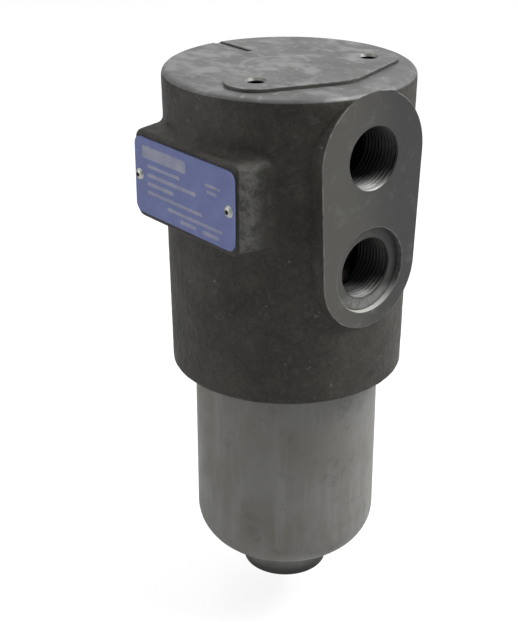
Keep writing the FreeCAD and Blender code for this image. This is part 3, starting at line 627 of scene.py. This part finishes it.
def head_shape(mesh):
    """The head's faces merged, each with its finish, and without the plain walls of the threads."""
    shape = bmesh.new()
    shape.from_mesh(mesh)
    bmesh.ops.remove_doubles(shape, verts=shape.verts, dist=MERGE)
    flat = math.radians(FLAT_ANGLE_DEG)
    bmesh.ops.dissolve_limit(shape, angle_limit=flat, verts=shape.verts, edges=shape.edges)
    shape.normal_update()
    for face in shape.faces:
        face.material_index = finish_of(face)
    walls = [face for face in shape.faces if is_thread_wall(face)]
    bmesh.ops.delete(shape, geom=walls, context="FACES_ONLY")
    return shape


def round_corners(shape):
    """Round the outside corners, except at the bores."""
    corner = math.radians(EDGE_ANGLE_DEG)
    outside = []
    for edge in shape.edges:
        finishes = [face.material_index for face in edge.link_faces]
        if len(finishes) == 2 and BORE not in finishes and edge.calc_face_angle_signed() > corner:
            outside.append(edge)
    bmesh.ops.bevel(shape, geom=outside, offset=EDGE_ROUND, offset_type="OFFSET", segments=2,
                    profile=0.5, affect="EDGES", material=EDGE)


def part_finishes(shape):
    """Shade the milled faces and the worn edges apart from what borders on them."""
    for edge in shape.edges:
        finishes = {face.material_index for face in edge.link_faces}
        edge.smooth = len(finishes) == 1 or not finishes & {FACE, EDGE}


def make_head():
    """The head's own form with rounded machined edges, an uneven casting and open bores."""
    mesh = nodes["filter_head"].data.copy()
    mesh.name = "head_look"
    mesh.attributes.remove(mesh.attributes["custom_normal"])
    mesh.materials.clear()
    for material in (cast_material(), top_material(), face_material(), bore_material(), edge_material()):
        mesh.materials.append(material)
    shape = head_shape(mesh)
    round_corners(shape)
    densify(shape, CAST, CAST_FACET, CAST_ROUNDS)
    roughen(shape, CAST)
    for vert in shape.verts:
        vert.co.y = max(vert.co.y, head_low.y)
    part_finishes(shape)
    shape.to_mesh(mesh)
    shape.free()
    mesh.polygons.foreach_set("use_smooth", [True] * len(mesh.polygons))
    mesh.set_sharp_from_angle(angle=SHARP_ANGLE)
    set_flat_normals(mesh)
    head = add_piece("head_look", mesh, "head")
    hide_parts("filter_head")


def make_valve_spring():
    """The bypass spring as a piece of its own that moves with the head, in place of the part's spring."""
    spring = add_piece("bypass_spring_look", nodes["bypass_spring"].data.copy(), "head")
    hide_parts("bypass_spring")
    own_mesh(spring)


def thread_mesh(name, core_r, root_depth, pitch, length_at, to_world):
    """Cut thread in a bore: a wavy tube whose roots lie outside the bore's core radius."""
    rows = round(max(length_at(0.0), length_at(math.pi / 2)) / pitch * STEPS_PER_PITCH)
    verts = []
    for row in range(rows + 1):
        for step in range(STEPS_ROUND):
            turn = 2 * math.pi * step / STEPS_ROUND
            length = length_at(turn)
            depth = length * row / rows
            wave = 0.5 - 0.5 * math.cos(2 * math.pi * depth / pitch - turn)
            fade = min(1.0, depth / (THREAD_RUNOUT * pitch), (length - depth) / (THREAD_RUNOUT * pitch))
            radius = core_r + root_depth * wave * fade
            verts.append(to_world(radius * math.sin(turn), radius * math.cos(turn), depth))
    faces = []
    for row in range(rows):
        for step in range(STEPS_ROUND):
            following = (step + 1) % STEPS_ROUND
            low = row * STEPS_ROUND
            high = low + STEPS_ROUND
            faces.append((low + step, low + following, high + following, high + step))
    mesh = bpy.data.meshes.new(name)
    mesh.from_pydata(verts, [], faces)
    mesh.polygons.foreach_set("use_smooth", [True] * len(faces))
    return mesh


def make_port_thread(name, material):
    """Thread of one port: the upper one ends in its bore, the lower one in the chamber's round wall."""
    core_r = mount_size("port_upper", "r_mm")
    centre = mount_place(name)

    def length_at(turn):
        if name == "port_upper":
            return head_low.y + PORT_LENGTH - centre.y
        return -centre.y - math.sqrt(CHAMBER_R ** 2 - (core_r * math.sin(turn)) ** 2)

    def to_world(across, up, depth):
        return (across, centre.y + depth, centre.z + up)

    mesh = thread_mesh(name + "_thread", core_r, PORT_THREAD_DEPTH, PORT_PITCH, length_at, to_world)
    set_material(add_piece(name + "_thread", mesh, "head"), material)


def make_mount_thread(name, side, material):
    """Thread of the mounting hole on the left, side -1, or on the right, side 1."""
    core_r = mount_size("mounting_holes", "hole_r_mm")
    half_pitch = mount_size("mounting_holes", "spacing_x_mm") / 2
    hole = mount_place("mounting_holes")

    def length_at(turn):
        return MOUNT_DEPTH - MOUNT_CHAMFER

    def to_world(across, along, depth):
        return (side * half_pitch + across, hole.y - along, -MOUNT_CHAMFER - depth)

    mesh = thread_mesh(name, core_r, MOUNT_THREAD_DEPTH, MOUNT_PITCH, length_at, to_world)
    set_material(add_piece(name, mesh, "head"), material)


def field_mesh(name, fields):
    """Plain rounded bars on the plate, each given as left, right, bottom, top from its middle, in metres."""
    verts = []
    faces = []
    level = (plate_low.z + plate_high.z) / 2
    for left, right, bottom, top in fields:
        radius = min(FIELD_CORNER_R, (top - bottom) / 2)
        first = len(verts)
        corners = ((right, top, 0), (left, top, 90), (left, bottom, 180), (right, bottom, 270))
        for across, up, start in corners:
            inward = 1 if across == left else -1
            lift = 1 if up == bottom else -1
            for step in range(FIELD_CORNER_STEPS + 1):
                turn = math.radians(start + 90 * step / FIELD_CORNER_STEPS)
                y = across + inward * radius + radius * math.cos(turn)
                z = up + lift * radius + radius * math.sin(turn)
                verts.append((plate_low.x - FIELD_RISE, -y, level + z))
        faces.append(tuple(range(first, len(verts))))
    mesh = bpy.data.meshes.new(name)
    mesh.from_pydata(verts, [], faces)
    return mesh


def make_fields():
    """Plain pale bars on the blue plate."""
    mesh = field_mesh("plate_fields", [tuple(edge * MM for edge in field) for field in FIELDS_MM])
    pale = plate_material("plate_pale_field", (0.175, 0.190, 0.310), (0.320, 0.325, 0.400))
    set_material(add_piece("plate_fields", mesh, "head"), pale)


def floor_material():
    """Pale floor that shows almost white to the camera, keeps a soft shadow and is clear from below."""
    graph = Graph("floor_pale")
    diffuse = graph.node("ShaderNodeBsdfDiffuse", Color=(FLOOR_COLOR, FLOOR_COLOR, FLOOR_COLOR, 1.0))
    glow = graph.node("ShaderNodeEmission", Color=(1.0, 1.0, 1.0, 1.0), Strength=FLOOR_STRENGTH)
    clear = graph.node("ShaderNodeBsdfTransparent")
    share = graph.math("MULTIPLY", graph.node("ShaderNodeLightPath").outputs["Is Camera Ray"], FLOOR_GLOW)
    backfacing = graph.node("ShaderNodeNewGeometry").outputs["Backfacing"]
    surface = graph.blend(share, diffuse.outputs[0], glow.outputs[0])
    graph.tree.links.new(graph.blend(backfacing, surface, clear.outputs[0]), graph.output.inputs[0])
    return graph.material


def make_floor():
    """Square floor, just under the bowl at its lowest."""
    z = cad_box[0][2] - joint_travel("element_draw") - FLOOR_DROP
    mesh = bpy.data.meshes.new("floor")
    corners = [(-FLOOR_HALF, -FLOOR_HALF, z), (FLOOR_HALF, -FLOOR_HALF, z),
               (FLOOR_HALF, FLOOR_HALF, z), (-FLOOR_HALF, FLOOR_HALF, z)]
    mesh.from_pydata(corners, [], [(0, 1, 2, 3)])
    floor = bpy.data.objects.new("floor", mesh)
    bpy.context.scene.collection.objects.link(floor)
    set_material(floor, floor_material())


def tent_share(tree, facing, brightness):
    """Strength of the tent, which falls from this brightness to its dark value toward the camera."""
    share = tree.nodes.new("ShaderNodeMapRange")
    share.interpolation_type = "SMOOTHSTEP"
    tree.links.new(facing, share.inputs["Value"])
    limits = (("From Min", TENT_BRIGHT_FROM), ("From Max", TENT_DARK_FROM),
              ("To Min", brightness), ("To Max", TENT_DARK))
    for key, number in limits:
        share.inputs[key].default_value = number
    return share.outputs[0]


def tent_light(tree, strength):
    """White background light of a plain or a linked strength."""
    light = tree.nodes.new("ShaderNodeBackground")
    light.inputs["Color"].default_value = (1.0, 1.0, 1.0, 1.0)
    if isinstance(strength, float):
        light.inputs["Strength"].default_value = strength
    else:
        tree.links.new(strength, light.inputs["Strength"])
    return light.outputs[0]


def make_world():
    """Light tent: the camera sees white, and the parts get less light from the camera's side."""
    world = bpy.data.worlds.new("light_tent")
    world.use_nodes = True
    bpy.context.scene.world = world
    tree = world.node_tree
    tree.nodes.clear()
    coordinates = tree.nodes.new("ShaderNodeTexCoord")
    toward_camera = tree.nodes.new("ShaderNodeVectorMath")
    toward_camera.operation = "DOT_PRODUCT"
    tree.links.new(coordinates.outputs["Generated"], toward_camera.inputs[0])
    toward_camera.inputs[1].default_value = heading_vector(CAMERA_HEADING_DEG + 180.0, 0.0)
    facing = toward_camera.outputs["Value"]
    light_path = tree.nodes.new("ShaderNodeLightPath")
    blended = tent_light(tree, tent_share(tree, facing, TENT_FILL))
    for ray, strength in (("Is Glossy Ray", tent_share(tree, facing, TENT_SHINE)), ("Is Camera Ray", 1.0)):
        blend = tree.nodes.new("ShaderNodeMixShader")
        tree.links.new(light_path.outputs[ray], blend.inputs[0])
        tree.links.new(blended, blend.inputs[1])
        tree.links.new(tent_light(tree, strength), blend.inputs[2])
        blended = blend.outputs[0]
    output = tree.nodes.new("ShaderNodeOutputWorld")
    tree.links.new(blended, output.inputs[0])


def softbox(name, place, width, height, power):
    """Rectangular lamp that aims at the filter."""
    data = bpy.data.lights.new(name, "AREA")
    data.shape = "RECTANGLE"
    data.size = width
    data.size_y = height
    data.energy = power
    light = bpy.data.objects.new(name, data)
    bpy.context.scene.collection.objects.link(light)
    aim(light, Vector(place), (Vector(LAMP_TARGET) - Vector(place)).normalized())


def dress():
    """Give a material to each node that shows its own mesh, and to the spring that is copied later."""
    turned = metal_material("turned_steel", (0.42, 0.42, 0.41), 0.3)
    wire = metal_material("spring_wire", (0.30, 0.30, 0.30), 0.35)
    zinc = metal_material("zinc_sheet", (0.58, 0.58, 0.55), 0.35, 6 * MM)
    rubber = matt_material("seal_rubber_black", (0.022, 0.022, 0.022), 0.6)
    finishes = {
        "plate_rivets": rivet_material(),
        "drain_plug": metal_material("plug_zinc", (0.50, 0.50, 0.48), 0.35),
        "drain_plug_seal": metal_material("seal_copper", (0.55, 0.27, 0.14), 0.35),
        "bowl_backup_ring": matt_material("backup_ring_white", (0.72, 0.71, 0.67), 0.5),
        "element_pleats": matt_material("filter_medium", (0.70, 0.67, 0.56), 0.85, 0.6 * MM),
        "filter_bowl": bowl_material(),
        "name_plate": plate_material("plate_blue_sheet", (0.105, 0.132, 0.310), (0.132, 0.165, 0.360)),
    }
    for name in ("element_spigot", "bypass_seat", "bypass_poppet"):
        finishes[name] = turned
    for name in ("bypass_spring", "element_spring"):
        finishes[name] = wire
    for name in ("element_top_cap", "element_bottom_cap", "element_core_tube", "element_bands"):
        finishes[name] = zinc
    for name in ("bowl_o_ring", "spigot_o_ring", "element_o_ring"):
        finishes[name] = rubber
    for name, material in finishes.items():
        set_material(nodes[name], material)


make_camera()
make_floor()
make_world()
for box in SOFTBOXES:
    softbox(*box)
dress()
make_head()
make_valve_spring()
for port in ("port_upper", "port_lower"):
    make_port_thread(port, bpy.data.materials["cut_bore"])
for thread, side in (("mount_thread_left", -1), ("mount_thread_right", 1)):
    make_mount_thread(thread, side, bpy.data.materials["cut_bore"])
make_fields()

bpy.context.scene.view_settings.view_transform = "Standard"
